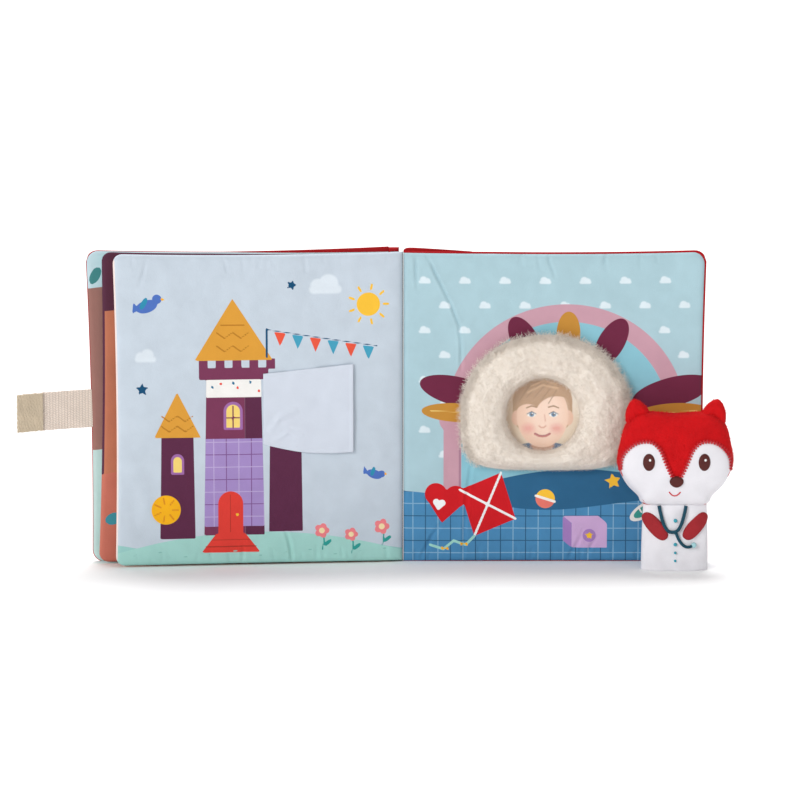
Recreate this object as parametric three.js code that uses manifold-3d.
// A soft activity book for small children, standing open at its last spread.
//
// Two padded velour covers and two padded inner leaves turn about the stitched spine. The right
// page carries a clear window in a plush ring, with a picture card behind it. The left page has a
// loose cloth flap, the front cover a closing strap, and a finger puppet stands before the book.
//
// Frame: millimetres, +Z up, +X to the reader's right, and the reader looks along +Y. The origin
// is the middle of the spine tape's foot, on the surface that the book stands on.

import * as THREE from 'three';
import { mergeVertices } from 'three/addons/utils/BufferGeometryUtils.js';
import Module from 'manifold-3d';

const wasm = await Module();
wasm.setup();

// How pieces lie against each other
const seamGap = 0.3;
const standFlat = 0.5;
const cutOverrun = 20;

// Covers
const coverWidth = 204.2;
const coverHeight = 213;
const coverCrown = 8;
const coverRim = 3.6;
const coverDrawIn = 1.6;
const coverCornerRadius = 8.5;
const velourEdge = 0.9;
const frontCoverAngle = 3.2;
const frontCoverSetback = 9.2;

// Inner leaves
const leafNarrower = 8.7;
const leafShorter = 2;
const leafWidth = coverWidth - leafNarrower;
const leafHeight = coverHeight - leafShorter;
const leafCrown = 7;
const leafRim = 3.2;
const leafDrawIn = 1.6;
const leafCornerRadius = 6.5;
const leafLift = 1;
const leafSetback = 8.4;
const lastLeafAngle = 6.2;
const rootSqueeze = 0.8;

// Cloth skins and what they hold
const skinThickness = 1.1;
const waddingInset = 5.5;
const seamFlat = 4;

// Spine
const tapeThickness = 2;
const bulgeShares = [0.1, 0.62, 1, 0.86, 0.42, 0];
const bulgeColumnShares = [0.3, 0.62];
const backCoverForward = 3.3;
const foldRelief = 0.5;
const spineRollCrown = 4.2;
const spineRollRim = 2.4;
const spineRollShorter = 0.6;
const spineBulge = 5.6;
const spineBulgeRim = 1.6;
const spineBulgeReach = 38;
const spineBulgeTaller = 0.8;

// Window, its plush ring and the picture card
const windowAcross = 94;
const windowCentreHeight = 102.3;
const windowRadius = 24;
const ringAcross = 96.3;
const ringHalfWidth = 59.5;
const ringTopRise = 56;
const ringBottomDrop = 38.8;
const ringProud = 13;
const ringTopPower = 2.1;
const ringBottomPower = 4.2;
const filmWidth = 62;
const filmHeight = 60;
const filmThickness = 0.4;
const cardWidth = 64;
const cardHeight = 66;
const cardThickness = 0.5;
const mouthMargin = 3;

// Flap on the last leaf
const flapHingeAcross = 95;
const flapReach = 61;
const flapHingeHeight = 48;
const flapFreeHeight = 60;
const flapCentreHeight = 105.7;
const flapThickness = 0.8;
const flapLift = 2.2;
const flapRipple = 0.5;
const flapBelly = 3;

// Closing strap and its two fastening patches
const strapWidth = 26;
const strapThickness = 1.6;
const strapRootLength = 28.5;
const strapEndLength = 20;
const strapHeight = 105;
const strapRootBend = 9;
const strapEndBend = 7;
const strapDroop = 3;
const patchThickness = 1.2;
const patchMargin = 1;
const hookPatchLength = 17.5;
const loopPatchWidth = 22;
const loopPatchInset = 9;

// Finger puppet
const puppetAcross = 182.8;
const puppetForward = 33;
const headHalfWidth = 39;
const headHeight = 73;
const headTopRise = 33;
const headBottomDrop = 29.6;
const headHalfDepth = 13;
const headSeamHalf = 2.2;
const headSwellPower = 2.4;
const headRoundPower = 0.55;
const headRingShares = [1, 0.93, 0.74, 0.4];
const domeRingShares = [1, 0.7, 0.35];
const plushThickness = 1.2;
const earAcross = 25;
const earHeight = 102.6;
const earHalfWidth = 8.6;
const earRise = 13;
const earHalfDepth = 4.5;
const earPower = 1.9;
const earTilt = 14;
const earEdgeShare = 0.97;
const earRingShares = [1, 0.75, 0.4];
const muzzleHeight = 61;
const muzzleHalfWidth = 27;
const muzzleRise = 12;
const muzzleDrop = 13.5;
const muzzleThickness = 0.9;
const muzzleTopPower = 2.4;
const muzzleBottomPower = 1.9;
const muzzleDipShare = 0.35;
const muzzleDipPower = 8;
const eyeAcross = 18.5;
const eyeHeight = 74.5;
const eyeRadius = 3.2;
const eyeDomeDepth = 3.2;
const eyeSeatShare = 0.9;
const noseHeight = 61.5;
const noseHalfWidth = 4.8;
const noseHalfHeight = 3.8;
const noseProud = 3;
const noseTopPower = 2.2;
const noseBottomPower = 1.8;
const bodyFootHalfWidth = 22;
const bodyTopHalfWidth = 20.4;
const bodyHeight = 53;
const bodyFootHalfDepth = 8;
const bodyTopHalfDepth = 4;
const bodyWall = 1.4;
const armAcross = 13.5;
const armHeight = 30;
const armHalfLength = 11.2;
const armHalfWidth = 5;
const armTilt = 48;
const armProud = 3.2;
const armPower = 2.4;
const armSeatShare = 0.8;
const buttonRadius = 1.7;
const buttonDomeDepth = 1.8;
const circlePower = 2;
const buttonSpacing = 8;
const buttonTopHeight = 34;

const degree = Math.PI / 180;

// Where the pads' surfaces have a row of points between their seams
const columnShares = [0.14, 0.32, 0.5, 0.68, 0.86];
const rowShares = [0.16, 0.33, 0.5, 0.67, 0.84];

// Turns a list of points and triangles into a closed geometry whose faces point out.
function solid(points, triangles) {
  let volume = 0;
  for (const [a, b, c] of triangles) {
    volume += points[a].dot(points[b].clone().cross(points[c]));
  }
  const index = triangles.flatMap(([a, b, c]) => (volume < 0 ? [a, c, b] : [a, b, c]));
  const geometry = new THREE.BufferGeometry().setFromPoints(points);
  geometry.setIndex(index);
  geometry.computeVertexNormals();
  return geometry;
}

function toManifold(geometry) {
  const bare = geometry.clone();
  bare.deleteAttribute('normal');
  bare.deleteAttribute('uv');
  const merged = mergeVertices(bare);
  return new wasm.Manifold(new wasm.Mesh({
    numProp: 3,
    vertProperties: new Float32Array(merged.attributes.position.array),
    triVerts: new Uint32Array(merged.index.array),
  }));
}

function fromManifold(manifold) {
  const mesh = manifold.getMesh();
  const geometry = new THREE.BufferGeometry();
  geometry.setAttribute('position', new THREE.BufferAttribute(new Float32Array(mesh.vertProperties), 3));
  geometry.setIndex(new THREE.BufferAttribute(new Uint32Array(mesh.triVerts), 1));
  geometry.computeVertexNormals();
  return geometry;
}

// A closed sheet between two grids of points, which share their rows and columns.
function gridSolid(columns, rows, outer, inner) {
  const points = [];
  for (const place of [outer, inner]) {
    for (let j = 0; j < rows; j += 1) {
      for (let i = 0; i < columns; i += 1) {
        points.push(place(i, j));
      }
    }
  }
  const count = columns * rows;
  const at = (i, j) => j * columns + i;
  const triangles = [];
  for (let j = 0; j < rows - 1; j += 1) {
    for (let i = 0; i < columns - 1; i += 1) {
      const corners = [at(i, j), at(i + 1, j), at(i + 1, j + 1), at(i, j + 1)];
      const [a, b, c, d] = corners;
      triangles.push([a, b, c], [a, c, d]);
      const [e, f, g, h] = corners.map((corner) => corner + count);
      triangles.push([e, g, f], [e, h, g]);
    }
  }
  const edge = [];
  for (let i = 0; i < columns - 1; i += 1) edge.push(at(i, 0));
  for (let j = 0; j < rows - 1; j += 1) edge.push(at(columns - 1, j));
  for (let i = columns - 1; i > 0; i -= 1) edge.push(at(i, rows - 1));
  for (let j = rows - 1; j > 0; j -= 1) edge.push(at(0, j));
  edge.forEach((a, k) => {
    const b = edge[(k + 1) % edge.length];
    triangles.push([b, a, a + count], [b, a + count, b + count]);
  });
  return solid(points, triangles);
}

// A pad stands in its own frame: x from the spine to the fore-edge, z up, y through it.
const cover = {
  width: coverWidth,
  height: coverHeight,
  crown: coverCrown,
  rim: coverRim,
  drawIn: coverDrawIn,
  radius: coverCornerRadius,
  lift: 0,
  flat: standFlat,
};

const leaf = {
  width: leafWidth,
  height: leafHeight,
  crown: leafCrown,
  rim: leafRim,
  drawIn: leafDrawIn,
  radius: leafCornerRadius,
  lift: leafLift,
  flat: 0,
};

const spineRoll = {
  width: frontCoverSetback - foldRelief - seamGap,
  height: coverHeight - spineRollShorter,
  crown: spineRollCrown,
  rim: spineRollRim,
  drawIn: 0,
  radius: spineRollRim / 2,
  lift: 0,
  flat: standFlat,
};

// Swelling of the wadding from one seam (-1) to the other (1).
function swell(across) {
  return Math.sqrt(Math.max(0, 1 - Math.abs(across) ** 3));
}

function halfThickness(pad, x, z) {
  const swelling = swell((2 * x) / pad.width - 1) * swell((2 * z) / pad.height - 1);
  return pad.rim / 2 + ((pad.crown - pad.rim) / 2) * swelling;
}

// The filling draws the three free sides in between their corners, and the foot is pressed flat.
function placeOnPad(pad, x, z, y) {
  const across = (2 * x) / pad.width - 1;
  const up = (2 * z) / pad.height - 1;
  const drawnX = across > 0 ? pad.drawIn * across ** 3 * (1 - up * up) : 0;
  const drawnZ = pad.drawIn * up ** 3 * (1 - across * across);
  return new THREE.Vector3(x - drawnX, y, Math.max(z - drawnZ - pad.flat, 0) + pad.lift);
}

// Rows and columns of points on a pad, with the two fore-edge corners rounded. What is out of
// sight needs fewer of them.
function padGrid(pad, spineInset, edgeInset, inSight) {
  const right = pad.width - edgeInset;
  const high = pad.height - edgeInset;
  const radius = pad.radius - Math.min(edgeInset, pad.radius / 2);
  const eased = radius * (1 - Math.sin(Math.PI / 8));
  const xs = [spineInset, ...columnShares.map((share) => pad.width * share)];
  xs.push(right - radius, right);
  const zs = [edgeInset, edgeInset + radius];
  zs.push(...rowShares.map((share) => pad.height * share), high - radius, high);
  if (inSight) {
    xs.splice(1, 0, seamFlat);
    xs.splice(xs.length - 1, 0, right - eased);
    zs.splice(1, 0, edgeInset + eased);
    zs.splice(zs.length - 1, 0, high - eased);
  }
  const place = (i, j) => {
    const intoX = xs[i] - (right - radius);
    const intoZ = Math.max(edgeInset + radius - zs[j], zs[j] - (high - radius));
    const reach = Math.hypot(intoX, intoZ);
    if (intoX <= 0 || intoZ <= 0 || reach <= radius) return [xs[i], zs[j]];
    const shrink = radius / reach;
    const low = zs[j] < pad.height / 2;
    const z = low ? edgeInset + radius - intoZ * shrink : high - radius + intoZ * shrink;
    return [right - radius + intoX * shrink, z];
  };
  const isEdge = (i, j) => i === 0 || j === 0 || i === xs.length - 1 || j === zs.length - 1;
  return { columns: xs.length, rows: zs.length, place, isEdge };
}

// One cloth skin of a pad; side is 1 for the +y face and -1 for the -y face.
function skin(pad, side, edgeInset) {
  const grid = padGrid(pad, 0, edgeInset, true);
  const surface = (inside) => (i, j) => {
    const [x, z] = grid.place(i, j);
    const half = halfThickness(pad, x, z);
    const seam = grid.isEdge(i, j) ? seamGap / 2 : half - skinThickness;
    return placeOnPad(pad, x, z, side * (inside ? seam : half));
  };
  return gridSolid(grid.columns, grid.rows, surface(false), surface(true));
}

// A pad's filling, or a whole small pad where the inset and the clearance are zero.
function filling(pad, inset, clearance) {
  const grid = padGrid(pad, inset, inset, false);
  const surface = (side) => (i, j) => {
    const [x, z] = grid.place(i, j);
    return placeOnPad(pad, x, z, side * (halfThickness(pad, x, z) - clearance));
  };
  return gridSolid(grid.columns, grid.rows, surface(1), surface(-1));
}

// A sheet that follows a pad's face. place gives a point and lift its height off the face.
function surfaceSheet(pad, side, columns, rows, thickness, place, lift) {
  const surface = (extra) => (i, j) => {
    const u = i / (columns - 1);
    const v = j / (rows - 1);
    const [x, z] = place(u, v);
    return placeOnPad(pad, x, z, side * (halfThickness(pad, x, z) + lift(u, v) + extra));
  };
  return gridSolid(columns, rows, surface(thickness), surface(0));
}

// A ring of superellipse points, whose power and height differ above and below the middle.
function roundOutline(halfWidth, rise, drop, upperPower, lowerPower) {
  return (turn) => {
    const power = 2 / (Math.sin(turn) >= 0 ? upperPower : lowerPower);
    const height = Math.sin(turn) >= 0 ? rise : -drop;
    const x = halfWidth * Math.sign(Math.cos(turn)) * Math.abs(Math.cos(turn)) ** power;
    return [x, height * Math.abs(Math.sin(turn)) ** power];
  };
}

// A stuffed form between a front face (-y) and a back face (+y), which meet at the outline.
function lens(outline, sides, ringShares, frontDepth, backDepth) {
  const points = [];
  for (const [direction, depth] of [[-1, frontDepth], [1, backDepth]]) {
    for (const share of ringShares) {
      for (let k = 0; k < sides; k += 1) {
        const [x, z] = outline((2 * Math.PI * k) / sides);
        points.push(new THREE.Vector3(x * share, direction * depth(share), z * share));
      }
    }
    points.push(new THREE.Vector3(0, direction * depth(0), 0));
  }
  const face = ringShares.length * sides + 1;
  const triangles = [];
  for (let k = 0; k < sides; k += 1) {
    const n = (k + 1) % sides;
    for (let r = 0; r < ringShares.length - 1; r += 1) {
      const [a, b, c, d] = [r * sides + k, r * sides + n, (r + 1) * sides + n, (r + 1) * sides + k];
      triangles.push([a, b, c], [a, c, d]);
      triangles.push([a + face, c + face, b + face], [a + face, d + face, c + face]);
    }
    const last = (ringShares.length - 1) * sides;
    triangles.push([last + k, last + n, face - 1], [last + n + face, last + k + face, 2 * face - 1]);
    triangles.push([n, k, k + face], [n, k + face, n + face]);
  }
  return solid(points, triangles);
}

// The plush ring: a dome from the window's edge to the outer edge, round a hole.
function plushRing() {
  const sides = 36;
  const outline = roundOutline(ringHalfWidth, ringTopRise, ringBottomDrop, ringTopPower, ringBottomPower);
  const acrossShares = [0, 0.1, 0.3, 0.55, 0.8, 1];
  const proudShares = [0.42, 0.74, 1, 0.98, 0.7, 0.24];
  const backShares = [1, 0.82, 0];
  const pocket = coverCrown / 2 + pocketDepth;
  const points = [];
  for (let k = 0; k < sides; k += 1) {
    const turn = (2 * Math.PI * k) / sides;
    const [outX, outZ] = outline(turn);
    const reach = Math.hypot(outX + ringAcross - windowAcross, outZ);
    const innerX = windowAcross + ((outX + ringAcross - windowAcross) * windowRadius) / reach;
    const innerZ = windowCentreHeight + (outZ * windowRadius) / reach;
    const between = (share) => [
      innerX + (ringAcross + outX - innerX) * share,
      innerZ + (windowCentreHeight + outZ - innerZ) * share,
    ];
    const atMouth = outZ < 0 && Math.abs(ringAcross + outX - windowAcross) < cardWidth / 2 + mouthMargin;
    const backLevel = (share) => {
      const [x, z] = between(share);
      const seated = share === 1 && !atMouth;
      return seated ? halfThickness(cover, x, z) + seamGap : pocket;
    };
    acrossShares.forEach((share, n) => {
      const [x, z] = between(share);
      const level = Math.max(pocket, halfThickness(cover, x, z) + seamGap) + ringProud * proudShares[n];
      points.push(new THREE.Vector3(x, -level, z - standFlat));
    });
    backShares.forEach((share) => {
      const [x, z] = between(share);
      points.push(new THREE.Vector3(x, -backLevel(share), z - standFlat));
    });
  }
  const section = acrossShares.length + backShares.length;
  const triangles = [];
  for (let k = 0; k < sides; k += 1) {
    const here = k * section;
    const next = ((k + 1) % sides) * section;
    for (let n = 0; n < section; n += 1) {
      const m = (n + 1) % section;
      triangles.push([here + n, here + m, next + m], [here + n, next + m, next + n]);
    }
  }
  return solid(points, triangles);
}

// The loose flap: sewn along its hinge side, with a free side that stands a little off the page.
function flapCloth() {
  const place = (u, v) => {
    const height = flapHingeHeight + (flapFreeHeight - flapHingeHeight) * u;
    const belly = flapBelly * Math.sin(Math.PI * u) * (1 - v);
    return [flapHingeAcross - flapReach * u, flapCentreHeight + height * (v - 1 / 2) - belly];
  };
  const lift = (u, v) => seamGap + flapLift * u * u + flapRipple * u * (1 + Math.sin(2 * Math.PI * v));
  return surfaceSheet(leaf, 1, 8, 8, flapThickness, place, lift);
}

// A strip of webbing that bends towards +y as it runs along +x, from a first heading.
function bentStrip(length, heading, bend, thickness, height, offset) {
  const steps = 5;
  const near = [];
  const far = [];
  let x = 0;
  let y = 0;
  for (let n = 0; n <= steps; n += 1) {
    const angle = (heading + (bend * n) / steps) * degree;
    const [sin, cos] = [Math.sin(angle), Math.cos(angle)];
    near.push(new THREE.Vector2(x - sin * (offset - thickness / 2), y + cos * (offset - thickness / 2)));
    far.unshift(new THREE.Vector2(x - sin * (offset + thickness / 2), y + cos * (offset + thickness / 2)));
    const middle = (heading + (bend * (n + 1 / 2)) / steps) * degree;
    x += (length / steps) * Math.cos(middle);
    y += (length / steps) * Math.sin(middle);
  }
  return new THREE.ExtrudeGeometry(new THREE.Shape([...near, ...far]), {
    depth: height,
    steps: 1,
    bevelEnabled: false,
  });
}

// Sizes that follow from the ones above
const pocketDepth = 3 * seamGap + cardThickness + filmThickness;
const leafPitch = leafCrown + seamGap - rootSqueeze;
const coverPitch = (leafCrown + coverCrown) / 2 + seamGap - rootSqueeze;
const leafStackAngle = frontCoverAngle + Math.atan2(2 * rootSqueeze, leafWidth) / degree;
const backCoverRoot = tapeThickness / 2 + seamGap;

const velour = new THREE.MeshStandardMaterial({ color: '#b5262c', roughness: 0.95, metalness: 0 });
const print = (color) => new THREE.MeshStandardMaterial({ color, roughness: 0.85, metalness: 0 });
const wadding = new THREE.MeshStandardMaterial({ color: '#f1efe9', roughness: 1, metalness: 0 });
const cotton = new THREE.MeshStandardMaterial({ color: '#ddd4c3', roughness: 0.9, metalness: 0 });
const satin = new THREE.MeshStandardMaterial({ color: '#e9edf2', roughness: 0.6, metalness: 0 });
const plush = new THREE.MeshStandardMaterial({ color: '#e8dfd2', roughness: 1, metalness: 0 });
const redPlush = new THREE.MeshStandardMaterial({ color: '#d92a20', roughness: 0.95, metalness: 0 });
const brown = new THREE.MeshStandardMaterial({ color: '#4a2622', roughness: 0.7, metalness: 0 });

function named(name, geometry, material) {
  const mesh = new THREE.Mesh(geometry, material);
  mesh.name = name;
  return mesh;
}

// A frame at a pad's root, turned so that x runs from the spine to the fore-edge.
function rootFrame(x, y, angle) {
  const frame = new THREE.Group();
  frame.position.set(x, y, 0);
  frame.rotation.z = angle * degree;
  return frame;
}

function backCover() {
  const frame = rootFrame(backCoverRoot, -backCoverForward, 0);
  frame.add(named('back_cover_outer', skin(cover, 1, 0), velour));
  frame.add(named('back_cover_wadding', filling(cover, waddingInset, skinThickness + seamGap), wadding));
  frame.add(named('back_cover_page', skin(cover, -1, velourEdge + seamGap), print('#b0d4df')));
  frame.add(named('plush_ring', plushRing(), plush));
  const cardFront = coverCrown / 2 + seamGap + cardThickness;
  const card = new THREE.BoxGeometry(cardWidth, cardThickness, cardHeight);
  card.translate(windowAcross, cardThickness / 2 - cardFront, windowCentreHeight - standFlat);
  frame.add(named('picture_card', card, print('#e8d3bd')));
  const film = new THREE.BoxGeometry(filmWidth, filmThickness, filmHeight);
  film.translate(windowAcross, -cardFront - seamGap - filmThickness / 2, windowCentreHeight - standFlat);
  const clear = new THREE.MeshStandardMaterial({ color: '#f4f7f8', roughness: 0.1, metalness: 0 });
  clear.transparent = true;
  clear.opacity = 0.35;
  frame.add(named('window_film', film, clear));
  frame.add(named('loop_patch', loopPatch(), print('#efe9dc')));
  return frame;
}

// The loop patch lies on the outside of the back cover, where the closed strap's end reaches.
function loopPatch() {
  const low = strapHeight - strapWidth / 2 + patchMargin;
  const high = strapHeight + strapWidth / 2 - patchMargin;
  const left = coverWidth - loopPatchInset - loopPatchWidth;
  const place = (u, v) => [left + loopPatchWidth * u, low + (high - low) * v + standFlat];
  return surfaceSheet(cover, 1, 5, 3, patchThickness, place, () => seamGap);
}

// The half of the padded spine that bulges behind the back cover, next to the gutter.
function spineBackHalf() {
  const grid = padGrid(cover, 0, 0, true);
  const levels = Array.from({ length: grid.rows }, (_, j) => grid.place(0, j)[1]);
  const stops = [grid.place(1, 0)[0], grid.place(2, 0)[0]];
  const between = bulgeColumnShares.map((share) => stops[0] + (stops[1] - stops[0]) * share);
  const xs = [foldRelief, stops[0], ...between, stops[1], spineBulgeReach];
  const at = (face) => (i, j) => {
    const z = levels[Math.min(j, levels.length - 1)];
    const up = (2 * z) / coverHeight - 1;
    const seat = seatOn(grid, xs[i], z) + seamGap;
    const bulge = spineBulgeRim + spineBulge * bulgeShares[i] * (1 - up ** 4 / 3);
    const point = placeOnPad(cover, xs[i], z, seat + (face ? bulge : 0));
    if (j === levels.length) point.z = coverHeight + spineBulgeTaller;
    return point;
  };
  return gridSolid(xs.length, levels.length + 1, at(true), at(false));
}

// The level of a cover's cloth at a height, between its rows of points.
function seatOn(grid, x, z) {
  const xs = Array.from({ length: grid.columns }, (_, i) => grid.place(i, columnShares.length)[0]);
  const next = Math.max(1, xs.findIndex((column) => column >= x));
  const along = (x - xs[next - 1]) / (xs[next] - xs[next - 1]);
  const before = halfThickness(cover, xs[next - 1], z);
  return before + (halfThickness(cover, xs[next], z) - before) * along;
}

function frontCover() {
  const root = coverPitch;
  const frame = rootFrame(-frontCoverSetback, root, 180 + frontCoverAngle);
  frame.add(named('front_cover_page', skin(cover, 1, velourEdge + seamGap), print('#bcd6e0')));
  frame.add(named('front_cover_wadding', filling(cover, waddingInset, skinThickness + seamGap), wadding));
  frame.add(named('front_cover_outer', skin(cover, -1, 0), velour));
  const strap = new THREE.Group();
  strap.position.set(coverWidth - coverDrawIn + 2 * seamGap, 0, strapHeight);
  const droop = new THREE.Matrix4().makeShear(0, -Math.tan(strapDroop * degree), 0, 0, 0, 0);
  const rootStrip = bentStrip(strapRootLength, 0, strapRootBend, strapThickness, strapWidth, 0);
  rootStrip.translate(0, 0, -strapWidth / 2);
  strap.add(named('strap_webbing', rootStrip.applyMatrix4(droop), cotton));
  const end = strapRootEnd();
  const endStrip = bentStrip(strapEndLength, strapRootBend, strapEndBend, strapThickness, strapWidth, 0);
  endStrip.translate(end.x, end.y, -strapWidth / 2);
  strap.add(named('strap_end_webbing', endStrip.applyMatrix4(droop), cotton));
  const patchHeight = strapWidth - 2 * patchMargin;
  const patchOffset = strapThickness / 2 + seamGap + patchThickness / 2;
  const bare = strapEndLength - hookPatchLength;
  const bareBend = (strapEndBend * bare) / strapEndLength;
  const hookHeading = strapRootBend + bareBend;
  const hookBend = strapEndBend - bareBend;
  const hook = bentStrip(hookPatchLength, hookHeading, hookBend, patchThickness, patchHeight, patchOffset);
  const bareHeading = (strapRootBend + bareBend / 2) * degree;
  end.x += bare * Math.cos(bareHeading);
  end.y += bare * Math.sin(bareHeading);
  hook.translate(end.x, end.y, -patchHeight / 2);
  strap.add(named('hook_patch', hook.applyMatrix4(droop), print('#efe9dc')));
  frame.add(strap);
  return frame;
}

// Where the strap's end piece begins, a seam's gap past its bent root piece.
function strapRootEnd() {
  const steps = 5;
  const end = new THREE.Vector2();
  for (let n = 0; n < steps; n += 1) {
    const angle = ((strapRootBend * (n + 1 / 2)) / steps) * degree;
    end.x += (strapRootLength / steps) * Math.cos(angle);
    end.y += (strapRootLength / steps) * Math.sin(angle);
  }
  end.x += seamGap * Math.cos(strapRootBend * degree);
  end.y += seamGap * Math.sin(strapRootBend * degree);
  return end;
}

// The half of the padded spine beside the front cover.
function spineFrontHalf() {
  const frame = rootFrame(-foldRelief, coverPitch, 180);
  frame.add(named('spine_front_half', filling(spineRoll, 0, 0), velour));
  return frame;
}

// The cotton tape that the leaves are sewn to: a strip across the spine with a rib to leaf 2.
function spineTape() {
  const front = -(leafPitch - leafRim / 2 - seamGap);
  const back = coverPitch - spineRollCrown / 2 - seamGap;
  const half = tapeThickness / 2;
  const rib = -(leafSetback - seamGap);
  const outline = new THREE.Shape([
    new THREE.Vector2(half, front),
    new THREE.Vector2(half, back),
    new THREE.Vector2(-half, back),
    new THREE.Vector2(-half, half),
    new THREE.Vector2(rib, half),
    new THREE.Vector2(rib, -half),
    new THREE.Vector2(-half, -half),
    new THREE.Vector2(-half, front),
  ]);
  const depth = leafHeight + leafLift;
  return new THREE.ExtrudeGeometry(outline, { depth, steps: 1, bevelEnabled: false });
}

function leafTwo() {
  const frame = rootFrame(-leafSetback, 0, 180 + leafStackAngle);
  frame.add(named('leaf_2_front_page', skin(leaf, 1, 0), print('#6a3350')));
  frame.add(named('leaf_2_wadding', filling(leaf, waddingInset, skinThickness + seamGap), wadding));
  frame.add(named('leaf_2_reverse_page', skin(leaf, -1, 0), print('#a9dcd0')));
  return frame;
}

function leafThree() {
  const frame = rootFrame(0, -leafPitch, 180 + lastLeafAngle);
  const pad = new THREE.Group();
  pad.position.x = seamGap;
  pad.add(named('leaf_3_front_page', skin(leaf, 1, 0), print('#c9d8e3')));
  pad.add(named('leaf_3_wadding', filling(leaf, waddingInset, skinThickness + seamGap), wadding));
  pad.add(named('leaf_3_reverse_page', skin(leaf, -1, 0), print('#d9b65e')));
  pad.add(named('flap_cloth', flapCloth(), satin));
  frame.add(pad);
  return frame;
}

// The puppet's head: a broad brow with the ears on it, cheeks, and a straight neck seam. It is
// grown by a clearance, so that what lies on it can be cut to its faces.
const headOutlineShares = [
  [0, 1], [0.42, 1.03], [0.7, 0.97], [0.87, 0.74], [0.96, 0.34], [1, 0.02], [0.94, -0.26],
  [0.8, -0.52], [0.62, -0.77], [0.54, -0.96], [0.28, -1], [0, -1],
];

function headOutline(grow) {
  const half = headOutlineShares.map(([across, up]) => {
    const height = up > 0 ? headTopRise : headBottomDrop;
    return [(headHalfWidth + grow) * across, (height + grow) * up];
  });
  const other = half.slice(1, -1).map(([x, z]) => [-x, z]).reverse();
  const ring = [...half, ...other];
  return (turn) => ring[Math.round((turn * ring.length) / (2 * Math.PI)) % ring.length];
}

function headForm(grow) {
  const sides = 2 * headOutlineShares.length - 2;
  const depth = (share) => headSeamHalf + grow + (headHalfDepth - headSeamHalf) * headSwell(share);
  return lens(headOutline(grow), sides, headRingShares, depth, depth);
}

function headSwell(share) {
  return Math.max(0, 1 - share ** headSwellPower) ** headRoundPower;
}

// A shell of plush over one half of the head.
function headShell(direction) {
  const whole = toManifold(headForm(0)).subtract(toManifold(headForm(-plushThickness)));
  const size = 2 * (headHalfWidth + cutOverrun);
  const block = new THREE.BoxGeometry(size, size, size);
  block.translate(0, (direction * (size + seamGap)) / 2, 0);
  return fromManifold(whole.intersect(toManifold(block)));
}

// A domed disc or pad that lies on a form, cut to the form's faces.
function domeOn(base, outline, sides, proud, place, tilt) {
  const front = (share) => proud * swell(share);
  const dome = lens(outline, sides, domeRingShares, front, (share) => front(share) / 2);
  dome.rotateY(tilt * degree);
  dome.translate(...place);
  return fromManifold(toManifold(dome).subtract(toManifold(base)));
}

function puppetEar(side) {
  const outline = roundOutline(earHalfWidth, earRise, earHalfWidth, earPower, circlePower);
  const depth = (share) => earHalfDepth * swell(share * earEdgeShare);
  const ear = lens(outline, 14, earRingShares, depth, depth);
  ear.rotateY(side * earTilt * degree);
  ear.translate(side * earAcross, 0, earHeight - headHeight);
  return fromManifold(toManifold(ear).subtract(toManifold(headForm(seamGap))));
}

// The muzzle patch: the shape of the lower face, as thick as its cloth, laid on the head.
function puppetMuzzle() {
  const sides = 28;
  const outline = roundOutline(muzzleHalfWidth, muzzleRise, muzzleDrop, muzzleTopPower, muzzleBottomPower);
  const shape = new THREE.Shape();
  for (let k = 0; k < sides; k += 1) {
    const turn = (2 * Math.PI * k) / sides;
    const [x, z] = outline(turn);
    const dip = muzzleRise * muzzleDipShare * Math.max(0, Math.sin(turn)) ** muzzleDipPower;
    shape[k === 0 ? 'moveTo' : 'lineTo'](x, z - dip);
  }
  shape.closePath();
  const depth = headHalfDepth + cutOverrun;
  const prism = new THREE.ExtrudeGeometry(shape, { depth, steps: 1, bevelEnabled: false });
  prism.rotateX(Math.PI / 2);
  prism.translate(0, 0, muzzleHeight - headHeight);
  const outside = toManifold(headForm(seamGap + muzzleThickness));
  const inside = toManifold(headForm(seamGap));
  return fromManifold(toManifold(prism).intersect(outside).subtract(inside));
}

// The puppet's body tube, grown by a clearance: wide and deep at its foot, flatter at its neck.
function bodyForm(grow, overrun) {
  const sides = 24;
  const levelShares = [0, 0.3, 0.6, 0.85, 1];
  const points = [];
  levelShares.forEach((share) => {
    const ease = share ** 2;
    const halfWidth = bodyFootHalfWidth + (bodyTopHalfWidth - bodyFootHalfWidth) * ease + grow;
    const halfDepth = bodyFootHalfDepth + (bodyTopHalfDepth - bodyFootHalfDepth) * ease + grow;
    for (let k = 0; k < sides; k += 1) {
      const turn = (2 * Math.PI * k) / sides;
      const z = share === 0 ? -overrun : bodyHeight * share;
      points.push(new THREE.Vector3(halfWidth * Math.cos(turn), halfDepth * Math.sin(turn), z));
    }
  });
  const top = (levelShares.length - 1) * sides;
  points.push(new THREE.Vector3(0, 0, -overrun), new THREE.Vector3(0, 0, bodyHeight));
  const triangles = [];
  for (let k = 0; k < sides; k += 1) {
    const n = (k + 1) % sides;
    for (let r = 0; r < top; r += sides) {
      triangles.push([r + k, r + n, r + sides + n], [r + k, r + sides + n, r + sides + k]);
    }
    triangles.push([n, k, points.length - 2], [top + k, top + n, points.length - 1]);
  }
  return solid(points, triangles);
}

// One panel of the body tube, from its foot to the underside of the head.
function bodyPanel(direction) {
  const tube = toManifold(bodyForm(0, 0)).subtract(toManifold(bodyForm(-bodyWall, cutOverrun)));
  const size = 2 * (bodyHeight + cutOverrun);
  const block = new THREE.BoxGeometry(size, size, size);
  block.translate(0, (direction * (size + seamGap)) / 2, 0);
  const head = headForm(seamGap);
  head.translate(0, 0, headHeight);
  return fromManifold(tube.intersect(toManifold(block)).subtract(toManifold(head)));
}

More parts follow.
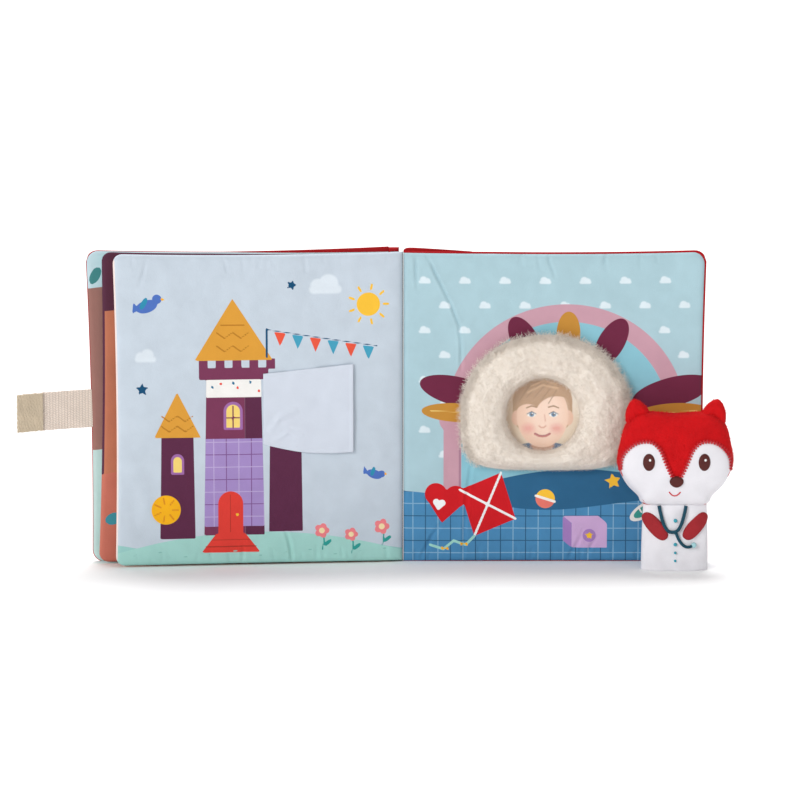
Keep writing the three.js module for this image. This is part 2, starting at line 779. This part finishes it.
function puppetArm(side) {
  const outline = roundOutline(armHalfLength, armHalfWidth, armHalfWidth, armPower, armPower);
  const place = [side * armAcross, -bodyFootHalfDepth * armSeatShare, armHeight];
  return domeOn(bodyForm(seamGap, 0), outline, 14, armProud, place, side * armTilt);
}

function puppetButton(height) {
  const outline = roundOutline(buttonRadius, buttonRadius, buttonRadius, circlePower, circlePower);
  const place = [0, -bodyFootHalfDepth, height];
  return domeOn(bodyForm(seamGap, 0), outline, 10, buttonDomeDepth, place, 0);
}

function puppetHead() {
  const head = new THREE.Group();
  head.position.z = headHeight;
  head.add(named('puppet_head_front', headShell(-1), redPlush));
  head.add(named('puppet_head_back', headShell(1), redPlush));
  head.add(named('puppet_head_stuffing', headForm(-plushThickness - seamGap), wadding));
  head.add(named('puppet_ear_left', puppetEar(-1), redPlush));
  head.add(named('puppet_ear_right', puppetEar(1), redPlush));
  head.add(named('puppet_muzzle', puppetMuzzle(), satin));
  const eye = roundOutline(eyeRadius, eyeRadius, eyeRadius, circlePower, circlePower);
  const face = headForm(seamGap);
  for (const [name, side] of [['puppet_eye_left', -1], ['puppet_eye_right', 1]]) {
    const eyePlace = [side * eyeAcross, -headHalfDepth * eyeSeatShare, eyeHeight - headHeight];
    head.add(named(name, domeOn(face, eye, 12, eyeDomeDepth, eyePlace, 0), brown));
  }
  const nose = roundOutline(noseHalfWidth, noseHalfHeight, noseHalfHeight, noseTopPower, noseBottomPower);
  const nosePlace = [0, -headHalfDepth - muzzleThickness, noseHeight - headHeight];
  const muzzleFace = headForm(2 * seamGap + muzzleThickness);
  head.add(named('puppet_nose', domeOn(muzzleFace, nose, 14, noseProud, nosePlace, 0), brown));
  return head;
}

function fingerPuppet() {
  const puppet = new THREE.Group();
  puppet.position.set(puppetAcross, -puppetForward, 0);
  puppet.add(puppetHead());
  puppet.add(named('puppet_body_front', bodyPanel(-1), satin));
  puppet.add(named('puppet_body_back', bodyPanel(1), satin));
  puppet.add(named('puppet_arm_left', puppetArm(-1), redPlush));
  puppet.add(named('puppet_arm_right', puppetArm(1), redPlush));
  const teal = print('#45a0be');
  ['puppet_button_top', 'puppet_button_middle', 'puppet_button_bottom'].forEach((name, n) => {
    puppet.add(named(name, puppetButton(buttonTopHeight - n * buttonSpacing), teal));
  });
  return puppet;
}

const book = new THREE.Group();
const behindBack = rootFrame(backCoverRoot, -backCoverForward, 0);
behindBack.add(named('spine_back_half', spineBackHalf(), velour));
book.add(backCover(), behindBack, named('spine_tape', spineTape(), cotton));
book.add(leafTwo(), leafThree(), frontCover(), spineFrontHalf(), fingerPuppet());
book.updateMatrixWorld(true);

export default book;
